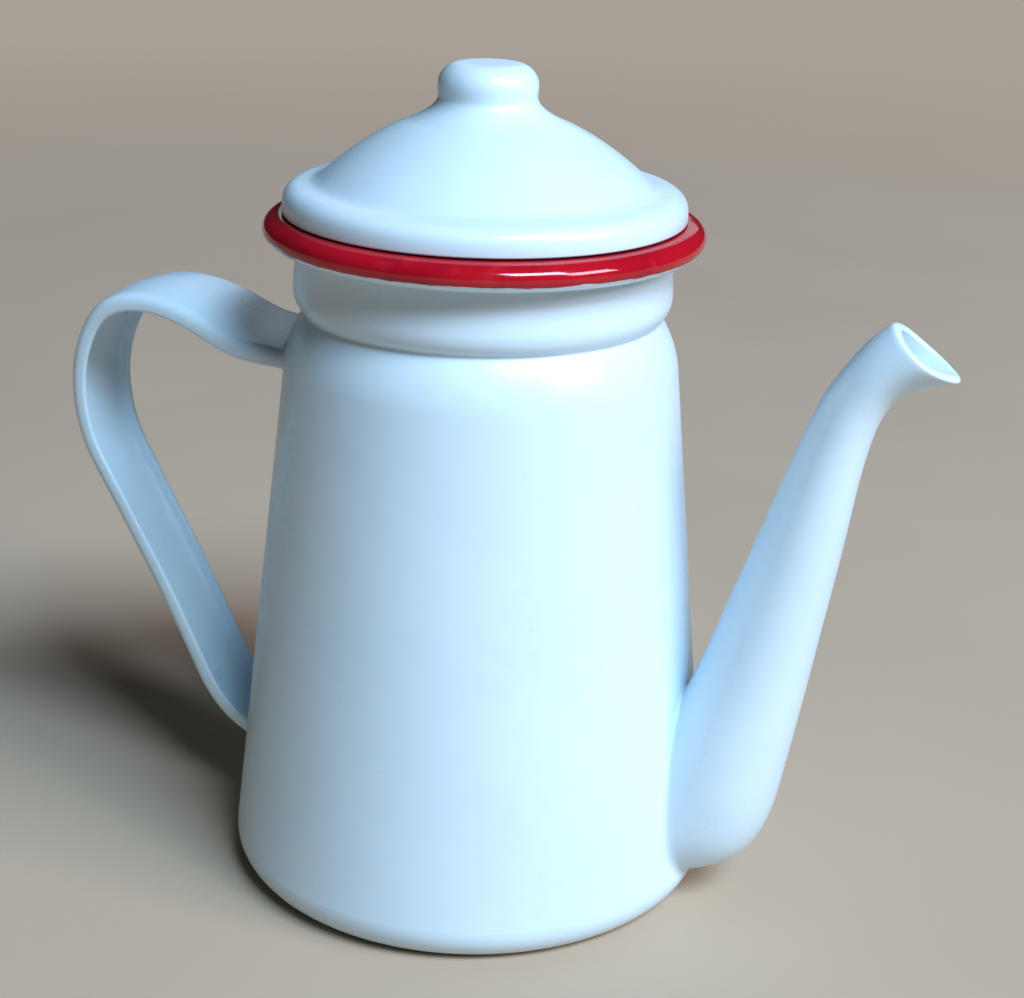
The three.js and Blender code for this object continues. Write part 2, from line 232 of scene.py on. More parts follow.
SCUFF_HEIGHT = 0.9 * MM
SCUFF_BEND = (0.02, 0.08)
KILN_PINS = 3
KILN_PIN_CIRCLE = 37 * MM
KILN_PIN_RADIUS = 0.9 * MM
RED = (0.47, 0.006, 0.017)
RED_DEEP = (0.34, 0.003, 0.011)
RED_THIN = (0.56, 0.02, 0.034)
RED_CLOUD_LENGTH = 22 * MM
RED_STREAK_LENGTH = 6 * MM
RED_STREAK_SHARE = 0.5
RED_END = RIM_HIGH.z - 5.1 * MM
RED_EDGE_LENGTH = 7 * MM
RED_EDGE_SWING = 1.1 * MM
RED_EDGE_BLUR = 0.07 * MM
RED_COAT = 0.05 * MM  # thickness of the red over the white
RED_ROUGHNESS = (0.08, 0.15)
RED_WAVE_DEPTH = 0.16 * MM
SPECK_SPACING = 7 * MM
SPECK_RADIUS = 0.42 * MM

# ---- Floor ----
FLOOR_RADIUS = 2.9
FLOOR_AROUND = 128
FLOOR_FADE = (0.35, 1.8)  # distances between which the floor turns into the backdrop
BACKDROP = (0.40, 0.355, 0.31)
BLACK = (0.0, 0.0, 0.0)
ORIGIN = (0.0, 0.0, 0.0)
PAPER_PALE = (0.52, 0.405, 0.30)
PAPER_SHADE = (0.495, 0.385, 0.285)
PAPER_CLOUD_LENGTH = 160 * MM
PAPER_GRAIN_LENGTH = 1.6 * MM
PAPER_GRAIN_DEPTH = 0.03 * MM
PAPER_ROUGHNESS = (0.75, 0.9)

# A colour Mix node has sockets for each kind of data, so these are given by number.
COLOUR_MIX_INPUTS = (0, 6, 7)  # share, first and second colour
COLOUR_MIX_RESULT = 2

# ---- Camera and light. Azimuth 0 is the side that faces -Y, and angles are in degrees ----
CAMERA_AIM = Vector((0, 0, 90 * MM))
CAMERA_DISTANCE = 516.3 * MM
CAMERA_AZIMUTH = 20
CAMERA_ELEVATION = 21.22
CAMERA_YAW = -0.97  # the pot stands a little off the picture's centre
CAMERA_PITCH = 0.975
CAMERA_ROLL = 1.4
CAMERA_SENSOR = 36  # millimetres, as Blender counts it
CAMERA_LENS = 70.3
CAMERA_CLIP = (0.01, 50)

# Each soft light: name, azimuth, elevation, distance, width and height in metres, watts, colour.
SOFTBOXES = (
    ("window", 53, 49, 4.0, (1.8, 1.2), 202, (0.56, 0.78, 1.0)),
    ("side_window", 80, 33, 4.0, (1.6, 1.2), 95, (0.92, 0.89, 1.0)),
    ("back", -165, 25, 3.0, (1.5, 1.5), 5, (0.8, 0.88, 1.0)),
)
WORLD_COLOUR = (0.7, 0.85, 1.0)
WORLD_STRENGTH = 0.02


# ---- Outlines: arrays of points (radius, height) ----

class Outline:
    """A line of close points, drawn stretch by stretch."""

    def __init__(self, *start):
        self.points = [np.array(start, float)]

    def line(self, *end):
        start = self.points[-1]
        run = np.array(end, float) - start
        steps = max(1, round(np.linalg.norm(run) / DRAFT_STEP))
        self.points += [start + run * i / steps for i in range(1, steps + 1)]
        return self

    def arc(self, centre, radii, start, end):
        """An arc of an ellipse, by its angles."""
        steps = max(FEWEST_STEPS, round(abs(end - start) * max(radii) / DRAFT_STEP))
        for i in range(steps + 1):
            angle = start + (end - start) * i / steps
            point = (centre[0] + radii[0] * math.cos(angle), centre[1] + radii[1] * math.sin(angle))
            if i > 0 or np.linalg.norm(point - self.points[-1]) > DRAFT_STEP / 2:
                self.points.append(np.array(point))
        return self

    def curve(self, pull, end):
        """A curve that bends towards the point pull."""
        start, pull, end = self.points[-1], np.array(pull, float), np.array(end, float)
        length = np.linalg.norm(pull - start) + np.linalg.norm(end - pull)
        steps = max(FEWEST_STEPS, round(length / DRAFT_STEP))
        for i in range(1, steps + 1):
            t = i / steps
            self.points.append((1 - t) ** 2 * start + 2 * t * (1 - t) * pull + t * t * end)
        return self

    def done(self, softness=0.0):
        """The points, evenly spaced and with every corner softened."""
        return softened(spaced(np.array(self.points), DRAFT_STEP), DRAFT_STEP, softness)


def lengths_along(points):
    steps = np.linalg.norm(np.diff(points, axis=0), axis=1)
    return np.concatenate([[0], np.cumsum(steps)])


def resampled(points, at):
    """Points at the given lengths along a line."""
    along = lengths_along(points)
    return np.stack([np.interp(at, along, column) for column in points.T], axis=1)


def spaced(points, step):
    total = lengths_along(points)[-1]
    return resampled(points, np.linspace(0, total, max(2, round(total / step) + 1)))


def softened(points, step, softness):
    """Evenly spaced points blurred along their line. Both ends stay where they are."""
    reach = min(int(BLUR_REACH * softness / step), len(points) - 1)
    if reach < 1:
        return points
    before = 2 * points[0] - points[reach:0:-1]
    after = 2 * points[-1] - points[-2:-2 - reach:-1]
    padded = np.concatenate([before, points, after])
    weights = np.exp(-0.5 * (np.arange(-reach, reach + 1) * step / softness) ** 2)
    weights /= weights.sum()
    return np.stack([np.convolve(column, weights, "valid") for column in padded.T], axis=1)


def thinned(points):
    """As few of the points as keep the line's shape."""
    kept = [0]
    while kept[-1] < len(points) - 1:
        first = kept[-1]
        best = first + 1
        for last in range(first + 2, len(points)):
            chord = points[last] - points[first]
            length = np.linalg.norm(chord)
            middle = points[first + 1:last] - points[first]
            stray = np.abs(middle[:, 0] * chord[1] - middle[:, 1] * chord[0]).max() / length
            if stray > OUTLINE_ERROR or length > OUTLINE_STEP:
                break
            best = last
        kept.append(best)
    return points[kept]


def left_normals(points):
    along = np.gradient(points, axis=0)
    along /= np.linalg.norm(along, axis=1)[:, None]
    return np.stack([-along[:, 1], along[:, 0]], axis=1)


def half_circle(start, end, bulge):
    """Points between two ends of a sheet's faces, bulging out along the unit vector bulge."""
    middle, arm = (start + end) / 2, (start - end) / 2
    angles = np.linspace(0, math.pi, EDGE_STEPS + 1)[1:-1, None]
    return middle + arm * np.cos(angles) + bulge * np.linalg.norm(arm) * np.sin(angles)


def sheet_outline(outer, round_start=True, round_end=True):
    """The closed outline of a sheet whose outer face is the line, with the sheet on its left."""
    inner = outer + left_normals(outer) * SHEET
    for line in (outer, inner):
        line[np.abs(line[:, 0]) < AXIS_REACH, 0] = 0
    if outer[-1, 0] == 0:
        inner[-1] = (0, outer[-1, 1] - SHEET)
    if outer[0, 0] == 0:
        inner[0] = (0, outer[0, 1] + SHEET)
    outer, inner = thinned(outer), thinned(inner[::-1])
    pieces = [outer]
    if round_end:
        pieces.append(half_circle(outer[-1], inner[0], unit(outer[-1] - outer[-2])))
    pieces.append(inner)
    if round_start:
        pieces.append(half_circle(inner[-1], outer[0], unit(outer[0] - outer[1])))
    return np.concatenate(pieces)


def unit(vector):
    return vector / np.linalg.norm(vector, axis=-1, keepdims=True)


# ---- Meshes ----

def sway(point):
    """How far the pressed sheet stands off its true shape at a point. The foot stays flat."""
    share = min(1, max(0, point[2] / SWAY_START))
    return noise.noise_vector(Vector(point) / SWAY_LENGTH) * SWAY_DEPTH * share


def piece(name, vertices, faces, body, slot, *nodes, punch=None):
    """A closed mesh that stands for the frame's nodes and rides on their body."""
    mesh = bpy.data.meshes.new(name)
    mesh.from_pydata([Vector(v) + sway(v) for v in vertices], [], faces)
    shell = bmesh.new()
    shell.from_mesh(mesh)
    bmesh.ops.remove_doubles(shell, verts=shell.verts, dist=WELD_DISTANCE)
    loose = [edge for edge in shell.edges if not edge.link_faces]
    bmesh.ops.delete(shell, geom=loose, context="EDGES")
    bmesh.ops.recalc_face_normals(shell, faces=shell.faces)
    shell.to_mesh(mesh)
    shell.free()
    if punch is not None:
        mesh = cut(mesh, punch)
        mesh.name = name
    made = bpy.data.objects.new(name, mesh)
    bpy.context.scene.collection.objects.link(made)
    finish_shading(mesh)
    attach(made, body)
    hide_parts(*nodes)
    return made


def finish_shading(mesh):
    mesh.shade_smooth()
    mesh.set_sharp_from_angle(angle=math.radians(SHARP_ANGLE))
    store_bend(mesh)


def store_bend(mesh):
    """Stores how sharply the surface bends at each vertex, per millimetre.

    It is above 0 on an edge and below 0 in a corner.
    """
    count = len(mesh.vertices)
    co, normals = np.empty(count * 3), np.empty(count * 3)
    mesh.vertices.foreach_get("co", co)
    mesh.vertices.foreach_get("normal", normals)
    co, normals = co.reshape(-1, 3), normals.reshape(-1, 3)
    ends = np.empty(len(mesh.edges) * 2, int)
    mesh.edges.foreach_get("vertices", ends)
    a, b = ends.reshape(-1, 2).T
    run = (co[b] - co[a]) / MM
    weight = 1 / np.maximum((run ** 2).sum(1), LEAST_SQUARED_EDGE)
    bend, total = np.zeros(count), np.zeros(count)
    for here, way in ((a, -run), (b, run)):
        np.add.at(bend, here, 2 * (normals[here] * way).sum(1) * weight)
        np.add.at(total, here, 1)
    bend /= np.maximum(total, 1)
    for _ in range(BEND_BLUR_ROUNDS):
        near, total = bend.copy(), np.ones(count)
        np.add.at(near, a, bend[b])
        np.add.at(near, b, bend[a])
        np.add.at(total, a, 1)
        np.add.at(total, b, 1)
        bend = near / total
    attribute = mesh.attributes.new("bend", "FLOAT", "POINT")
    attribute.data.foreach_set("value", bend.astype(np.float32))


def grid_faces(rows, columns, rows_close):
    """Faces of a grid of vertices whose columns close on themselves, and whose rows may."""
    faces = []
    for row in range(rows if rows_close else rows - 1):
        for column in range(columns):
            here, up = row * columns, (row + 1) % rows * columns
            beside = (column + 1) % columns
            faces.append((here + column, here + beside, up + beside, up + column))
    return faces


def turned(name, outline, body, slot, *nodes, around=AROUND, punch=None):
    """An outline turned round the pot's axis. One that starts and ends on the axis is open there."""
    angles = np.linspace(0, 2 * math.pi, around, endpoint=False)
    rings = np.stack(
        [
            outline[:, 0, None] * np.cos(angles),
            outline[:, 0, None] * np.sin(angles),
            np.repeat(outline[:, 1, None], around, axis=1),
        ],
        axis=2,
    )
    closes = outline[0, 0] > 0
    faces = grid_faces(len(outline), around, closes)
    return piece(name, rings.reshape(-1, 3), faces, body, slot, *nodes, punch=punch)


# ---- The pot's outer face ----

lean = (WALL_HIGH.x - SHOULDER[0]) / (SHOULDER[1] - WALL_LOW.z)
lean_angle = math.atan(lean)


def cone_radius(z):
    return SHOULDER[0] + (SHOULDER[1] - z) * lean


heel_centre = (cone_radius(HEEL_RADIUS) - HEEL_RADIUS / math.cos(lean_angle), HEEL_RADIUS)
seam_z = HEEL_RADIUS * (1 + math.sin(lean_angle))


def heel(outline):
    outline.line(heel_centre[0], 0)
    return outline.arc(heel_centre, (HEEL_RADIUS, HEEL_RADIUS), -math.pi / 2, lean_angle)


def wall_and_neck(outline):
    outline.line(*SHOULDER).curve(SHOULDER_PULL, GROOVE).curve(NECK_PULL, NECK)
    return outline.line(NECK_TOP_RADIUS, WALL_HIGH.z)


wall_line = wall_and_neck(Outline(cone_radius(seam_z), seam_z)).done(WALL_SOFTNESS)
pot_line = wall_and_neck(heel(Outline(0, 0))).done(WALL_SOFTNESS)
skin_line = pot_line[np.searchsorted(pot_line[:, 0], heel_centre[0]):]


def skin_distance(points):
    """How far points stand outside the pot's wall."""
    radii = np.hypot(points[..., 0], points[..., 1])
    return radii - np.interp(points[..., 2], skin_line[:, 1], skin_line[:, 0])


def on_skin(point, depth=0.0):
    """The wall's point next to a point, or one below the surface there, and the wall's normal."""
    radius, z = math.hypot(point[0], point[1]), point[2]
    nearest = np.argmin(np.hypot(skin_line[:, 0] - radius, skin_line[:, 1] - z))
    nearest = min(max(nearest, 1), len(skin_line) - 2)
    along = unit(skin_line[nearest + 1] - skin_line[nearest - 1])
    out = np.array([along[1], -along[0]])
    base = skin_line[nearest]
    slip = (radius - base[0]) * along[0] + (z - base[1]) * along[1]
    place = base + along * slip - out * depth
    way = np.array([point[0], point[1]]) / radius
    return np.append(way * place[0], place[1]), np.append(way * out[0], out[1])


# ---- Pot ----

def base_enamelled():
    """The bottom: flat, with a ring pressed into it, a rounded heel and an upstand inside the wall."""
    half, depth = RING_WIDTH / 2, SHEET
    line = Outline(0, 0).line(RING_RADIUS - half, 0).line(RING_RADIUS - half / 2, depth)
    line.line(RING_RADIUS + half / 2, depth).line(RING_RADIUS + half, 0)
    outer = heel(line).done(WALL_SOFTNESS)
    lap = cone_radius(seam_z) - SHEET
    flange = Outline(lap, seam_z).line(cone_radius(PAN_HIGH.z) - SHEET, PAN_HIGH.z).done()
    face = np.concatenate([outer[:-1], flange])
    inner = Outline(0, SHEET).line(RING_RADIUS - half, SHEET).line(RING_RADIUS - half / 2, SHEET + depth)
    inner.line(RING_RADIUS + half / 2, SHEET + depth).line(RING_RADIUS + half, SHEET)
    inner.line(heel_centre[0], SHEET)
    inside = HEEL_RADIUS - SHEET
    inner.arc(heel_centre, (inside, inside), -math.pi / 2, 0)
    inner.line(flange[-1][0] - SHEET, PAN_HIGH.z)
    inner = inner.done(WALL_SOFTNESS)[::-1]
    edge = half_circle(flange[-1], inner[0], np.array([0, 1.0]))
    outline = np.concatenate([thinned(outer), thinned(flange), edge, thinned(inner)])
    return turned("base_enamelled", outline, "pot", "white_enamel", "base_pan")


def strainer_pins():
    """Pins where the strainer's holes are, through the wall behind the spout."""
    pins = bmesh.new()
    level = Matrix.Rotation(math.pi / 2, 4, "Y")
    for row, count in enumerate(STRAINER_ROWS):
        z = STRAINER_FIRST_Z + row * STRAINER_ROW_STEP
        for i in range(count):
            y = (i - (count - 1) / 2) * STRAINER_PITCH
            place = Matrix.Translation((cone_radius(z), y, z))
            bmesh.ops.create_cone(
                pins, cap_ends=True, segments=STRAINER_HOLE_AROUND, radius1=STRAINER_HOLE_RADIUS,
                radius2=STRAINER_HOLE_RADIUS, depth=STRAINER_PIN_LENGTH, matrix=place @ level,
            )
    mesh = bpy.data.meshes.new("strainer_pins")
    pins.to_mesh(mesh)
    pins.free()
    return mesh


def cut(mesh, punch):
    """The mesh without what the punch takes out of it."""
    solids = []
    for source in (mesh, punch):
        solid = bpy.data.objects.new(source.name, source)
        bpy.context.scene.collection.objects.link(solid)
        solids.append(solid)
    modifier = solids[0].modifiers.new("cut", "BOOLEAN")
    modifier.object = solids[1]
    modifier.solver = "EXACT"
    bpy.context.view_layer.update()
    shaped = solids[0].evaluated_get(bpy.context.evaluated_depsgraph_get())
    result = bpy.data.meshes.new_from_object(shaped)
    for solid in solids:
        bpy.data.objects.remove(solid)
    for source in (mesh, punch):
        bpy.data.meshes.remove(source)
    return result


def wall_enamelled():
    outline = sheet_outline(wall_line, round_start=False, round_end=False)
    return turned("wall_enamelled", outline, "pot", "white_enamel", "body_wall", punch=strainer_pins())


def rim_enamelled():
    """The neck's top edge rolled out, over and back under itself."""
    middle_in = NECK_TOP_RADIUS - SHEET / 2
    middle_out = RIM_HIGH.x - SHEET / 2
    across, up = (middle_out - middle_in) / 2, (RIM_HEIGHT - SHEET) / 2
    centre = (middle_in + across, RIM_HIGH.z - RIM_HEIGHT / 2)
    line = Outline(middle_in, WALL_HIGH.z).line(middle_in, centre[1])
    line.arc(centre, (across, up), math.pi, RIM_CURL_END)
    middle = line.done(RIM_SOFTNESS)
    outside = middle + left_normals(middle) * SHEET / 2
    outline = sheet_outline(outside[::-1], round_end=False)
    return turned("rim_enamelled", outline, "pot", "red_enamel", "rolled_rim")


# ---- Lid ----

def lid_line():
    """The lid's outer face, from the brim's lower edge to the middle of the dome."""
    z = SHELL_LOW.z
    radius = SHELL_HIGH.x

    def up(point):
        return point[0], point[1] + z

    bend = (radius - BRIM_ROUNDING, BRIM_TOP - BRIM_ROUNDING + z)
    line = Outline(radius, z + SHEET / 2).line(radius, bend[1])
    line.arc(bend, (BRIM_ROUNDING, BRIM_ROUNDING), 0, math.pi / 2)
    line.line(*up(BRIM_INNER)).curve(up(DOME_FOOT_PULL), up(DOME_FOOT)).line(*up(DOME_FLANK))
    line.curve(up(DOME_FLANK_PULL), up(DOME_SHOULDER)).curve(up(DOME_CROWN_PULL), (0, SHELL_HIGH.z))
    return line.done(LID_SOFTNESS)


dome_line = lid_line()


def dome_height(radius):
    return float(np.interp(-radius, -dome_line[:, 0], dome_line[:, 1]))


def lid_enamelled():
    outline = sheet_outline(dome_line, round_end=False)
    return turned("lid_enamelled", outline, "lid", "white_enamel", "lid_shell")


def collar_enamelled():
    """The ring under the lid. Its top runs up into the lid's sheet."""
    radius = COLLAR_HIGH.x
    lead_z = COLLAR_LOW.z + COLLAR_LEAD_IN_HEIGHT
    top = dome_height(radius - SHEET / 2) - EMBED
    line = Outline(radius - COLLAR_LEAD_IN, COLLAR_LOW.z + SHEET / 2).line(radius, lead_z)
    line = line.line(radius, top).done(COLLAR_SOFTNESS)
    outline = sheet_outline(line, round_end=False)
    return turned("collar_enamelled", outline, "lid", "white_enamel", "lid_collar")


def knob_enamelled():
    """The hollow knob. Its foot runs out into the dome."""
    z = SHELL_LOW.z
    widest = KNOB_HIGH.z - KNOB_ROUNDING
    foot_z = dome_height(KNOB_SPREAD)
    line = Outline(KNOB_SPREAD, foot_z - TUCK)
    line.curve((KNOB_FOOT_PULL[0], KNOB_FOOT_PULL[1] + z), (KNOB_NECK[0], KNOB_NECK[1] + z))
    line.line(KNOB_RADIUS, widest)
    line.arc((KNOB_RADIUS - KNOB_ROUNDING, widest), (KNOB_ROUNDING, KNOB_ROUNDING), 0, math.pi / 2)
    outer = line.line(0, KNOB_HIGH.z).done(KNOB_SOFTNESS)
    inner = outer + left_normals(outer) * SHEET
    inner[-1] = (0, KNOB_HIGH.z - SHEET)
    clear = [point[1] > dome_height(point[0]) - EMBED for point in inner]
    inner = thinned(inner[clear][::-1])
    foot = np.array([[inner[-1][0], dome_height(inner[-1][0]) - EMBED], [KNOB_SPREAD, foot_z - EMBED]])
    outline = np.concatenate([thinned(outer), inner, foot])
    return turned("knob_enamelled", outline, "lid", "white_enamel", "lid_knob", around=KNOB_AROUND)


# ---- What is welded on the wall ----

def blurred_table(table, step, softness):
    """A smooth run through the rows of a table, evenly spaced along its first two columns."""
    rows = []
    padded = np.concatenate([[2 * table[0] - table[1]], table, [2 * table[-1] - table[-2]]])
    gaps = np.linalg.norm(np.diff(padded[:, :2], axis=0), axis=1)
    knots = np.concatenate([[0], np.cumsum(np.sqrt(gaps))])
    for i in range(1, len(padded) - 2):
        t0, t1, t2, t3 = knots[i - 1:i + 3]
        p0, p1, p2, p3 = padded[i - 1:i + 3]
        for t in np.linspace(t1, t2, SPLINE_STEPS, endpoint=False):
            a = p0 * (t1 - t) / (t1 - t0) + p1 * (t - t0) / (t1 - t0)
            b = p1 * (t2 - t) / (t2 - t1) + p2 * (t - t1) / (t2 - t1)
            c = p2 * (t3 - t) / (t3 - t2) + p3 * (t - t2) / (t3 - t2)
            low = a * (t2 - t) / (t2 - t0) + b * (t - t0) / (t2 - t0)
            high = b * (t3 - t) / (t3 - t1) + c * (t - t1) / (t3 - t1)
            rows.append(low * (t2 - t) / (t2 - t1) + high * (t - t1) / (t2 - t1))
    rows = np.array(rows + [table[-1]])
    along = lengths_along(rows[:, :2])
    even = np.linspace(0, along[-1], round(along[-1] / step) + 1)
    rows = np.stack([np.interp(even, along, column) for column in rows.T], axis=1)
    return softened(rows, step, softness)


def grid_normals(grid):
    """Normals of a grid of rows and closed columns, pointing to the outside of a tube."""
    along = np.gradient(grid, axis=0)
    around = np.roll(grid, -1, axis=1) - np.roll(grid, 1, axis=1)
    return unit(np.cross(around, along))


def rooted(line, normals, fillet):
    """Where a line that starts outside the wall runs into it.

    Gives how much of the line stays outside and the points that follow: the enamel fillet that carries
    it over onto the wall, if there is one, and its hidden end.
    """
    distance = skin_distance(line)
    inside = int(np.argmax(distance < 0))
    share = distance[inside - 1] / (distance[inside - 1] - distance[inside])
    meeting = line[inside - 1] + (line[inside] - line[inside - 1]) * share
    along = lengths_along(line)
    reached = along[inside - 1] + (along[inside] - along[inside - 1]) * share
    if fillet == 0:
        return reached, [on_skin(meeting, EMBED)[0]]
    start = resampled(line, np.array([reached - fillet]))[0]
    corner, wall_normal = on_skin(meeting)
    away = normals[inside] - wall_normal * (normals[inside] @ wall_normal)
    end, _ = on_skin(corner + unit(away) * fillet, TUCK)
    points = []
    for i in range(1, FILLET_STEPS + 1):
        t = i / FILLET_STEPS
        points.append((1 - t) ** 2 * start + 2 * t * (1 - t) * corner + t * t * end)
    points.append(on_skin(end, EMBED)[0])
    return reached - fillet, points


def eased(share):
    """A smooth step from 0 to 1."""
    share = np.clip(share, 0, 1)
    return share * share * (3 - 2 * share)


def spout_grid():
    """The spout's outer face: rows from the mouth to well inside the wall, columns round it."""
    places = np.linspace(0, 1, len(SPOUT_SECTIONS))
    table = []
    for (back, belly, half), along in zip(SPOUT_SECTIONS, places):
        back, belly = np.array(back) * MM, np.array(belly) * MM
        table.append([*(back + belly) / 2, *(back - belly) / 2, half * MM, along])
    rows = blurred_table(np.array(table), SPOUT_STEP, SPOUT_SOFTNESS)[::-1]
    angles = np.linspace(0, 2 * math.pi, SPOUT_AROUND, endpoint=False)
    cosine, sine = np.cos(angles), np.sin(angles)
    x, z, dx, dz, half, along = (column[:, None] for column in rows.T)
    drawn = eased((along - SPOUT_LIP_START) / (1 - SPOUT_LIP_START))
    width = half * sine * (1 - SPOUT_LIP_POINT * drawn * np.maximum(0, -cosine) ** 2)
    dip = SPOUT_LIP_DIP * drawn * sine ** 2 / np.hypot(dx, dz)
    return np.stack([x + dx * cosine - dz * dip, width, z + dz * cosine + dx * dip], axis=2)


def mouth_swell(depth):
    """What the spout's sheet gains: a bead round the mouth, which narrows inwards like a funnel."""
    share = np.sin(math.pi / 2 * np.minimum(1, depth / SPOUT_THROAT_DEPTH))
    swell = SPOUT_LIP_SWELL + (SPOUT_THROAT_SWELL - SPOUT_LIP_SWELL) * share
    return swell * (1 - eased((depth - SPOUT_THROAT_DEPTH) / (SPOUT_THROAT_END - SPOUT_THROAT_DEPTH)))


def spout_enamelled():
    outer = spout_grid()
    normals = grid_normals(outer)
    swell = mouth_swell(np.arange(len(outer)) * SPOUT_STEP)
    outward = unit(outer - outer.mean(axis=1, keepdims=True))
    inner = outer - normals * SHEET - outward * swell[:, None, None]
    mouth_way = unit(outer[0].mean(0) - outer[1].mean(0)) * SPOUT_LIP_BULGE
    columns = []
    for column in range(SPOUT_AROUND):
        face, inside = outer[:, column], inner[:, column]
        reached, root = rooted(face, normals[:, column], SPOUT_FILLET)
        face = resampled(face, np.linspace(0, reached, SPOUT_ROWS))
        reached, hidden = rooted(inside, normals[:, column], 0)
        inside = resampled(inside, np.linspace(reached, 0, SPOUT_ROWS))
        lip = half_circle(inside[-1], face[0], mouth_way)
        columns.append(np.concatenate([face, root, hidden, inside, lip]))
    grid = np.stack(columns, axis=1)
    faces = grid_faces(len(grid), SPOUT_AROUND, True)
    return piece(
        "spout_enamelled", grid.reshape(-1, 3), faces, "pot", "white_enamel",
        "spout_left_half", "spout_right_half",
    )


def strap_middle(width):
    """The middle of the strap's sheet, across the strap (y, out): both edges are turned in."""
    side = (width - STRAP_THICKNESS) / 2
    face = (STRAP_EDGE_HEIGHT - STRAP_THICKNESS) / 2
    tip = (STRAP_THICKNESS - STRAP_EDGE_HEIGHT) / 2
    half = [(side, tip)]
    for i in range(STRAP_BEND_STEPS + 1):
        angle = math.pi / 2 * i / STRAP_BEND_STEPS
        inward = STRAP_CORNER * (1 - math.cos(angle))
        below = STRAP_CORNER * (1 - math.sin(angle))
        half.append((side - inward, face - below))
    flat = side - STRAP_CORNER
    for i in range(1, STRAP_FACE_STEPS + 1):
        y = flat * (1 - i / STRAP_FACE_STEPS)
        half.append((y, face + STRAP_CROWN * (1 - (y / flat) ** 2)))
    half = np.array(half)
    return np.concatenate([half, half[-2::-1] * (-1, 1)])


def strap_outline(width):
    """The closed outline round the strap's sheet. Points that face each other pair from its two ends."""
    middle = strap_middle(width)
    normals = left_normals(middle)
    outer = middle - normals * STRAP_THICKNESS / 2
    inner = middle + normals * STRAP_THICKNESS / 2
    down = np.array([0, -1.0])
    first = half_circle(inner[0], outer[0], down)
    last = half_circle(outer[-1], inner[-1], down)
    half = len(first) // 2
    return np.concatenate([first[half:], outer, last, inner[::-1], first[:half]])


def handle_grid():
    """The strap's surface: rows along its route, columns round its sheet."""
    route = blurred_table(np.array(HANDLE_ROUTE) * MM, STRAP_STEP, STRAP_SOFTNESS)
    tangents = unit(np.gradient(route, axis=0))
    share = np.linspace(0, 1, len(route))
    spread = (1 - np.minimum(share / STRAP_FLARE_LENGTH, 1)) ** STRAP_FLARE_POWER
    rows = []
    for point, tangent, part in zip(route, tangents, spread):
        outline = strap_outline(STRAP_WIDTH + (STRAP_TOP_WIDTH - STRAP_WIDTH) * part)
        out = np.array([tangent[1], -tangent[0]])
        place = point + outline[:, 1:] * out
        rows.append(np.stack([place[:, 0], outline[:, 0], place[:, 1]], axis=1))
    return np.array(rows)


def handle_enamelled():
    grid = handle_grid()
    normals = -grid_normals(grid)  # its columns run the other way round
    middle = len(grid) // 2
    columns = []
    for column in range(grid.shape[1]):
        line, way = grid[:, column], normals[:, column]
        low, foot = rooted(line[middle:], way[middle:], HANDLE_FILLET)
        high, head = rooted(line[middle::-1], way[middle::-1], HANDLE_FILLET)
        span = lengths_along(line)
        at = np.linspace(span[middle] - high, span[middle] + low, STRAP_ROWS)
        columns.append(np.concatenate([head[::-1], resampled(line, at), foot]))
    rows = np.stack(columns, axis=1)
    count = rows.shape[1]
    faces = grid_faces(len(rows), count, False)
    last = (len(rows) - 1) * count
    for start in (0, last):
        for i in range(count // 2):
            corners = (i, i + 1, (count - i - 2) % count, count - i - 1)
            face = dict.fromkeys(start + corner for corner in corners)
            if len(face) > 2:
                faces.append(tuple(face))
    return piece("handle_enamelled", rows.reshape(-1, 3), faces, "pot", "white_enamel", "handle_strap")


noise.seed_set(SWAY_SEED)
base_enamelled()
wall_enamelled()
spout_enamelled()
handle_enamelled()
rim_enamelled()
lid_enamelled()
collar_enamelled()
knob_enamelled()


# ---- Materials ----

